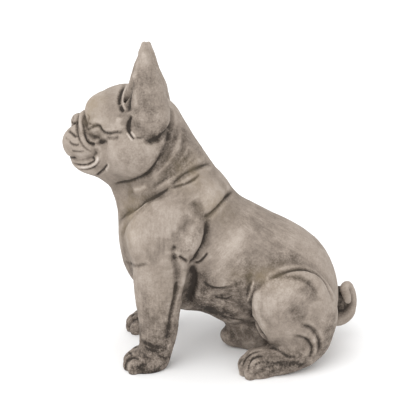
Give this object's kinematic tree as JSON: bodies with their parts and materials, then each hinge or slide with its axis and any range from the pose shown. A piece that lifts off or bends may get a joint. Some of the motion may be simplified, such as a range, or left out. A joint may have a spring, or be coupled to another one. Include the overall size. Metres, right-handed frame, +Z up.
{
  "type": "bulldog garden statue",
  "caption": "Sitting bulldog with pricked ears, wrinkled face and short curled tail, a cast garden figure that stands on its feet and rump.",
  "frame": {"origin": "on the ground, under the middle of the figure's bounding box", "axes": "+Z up, -X the way the dog faces, -Y its left side"},
  "size_m": [0.4166, 0.2254, 0.45],
  "materials": {
    "cast_stone": "matt cast stone, grey-beige with a brown wash in the creases and paler rubbed heights"
  },
  "bodies": {
    "root": {"bulldog_statue": "cast_stone"}
  },
  "joints": []
}
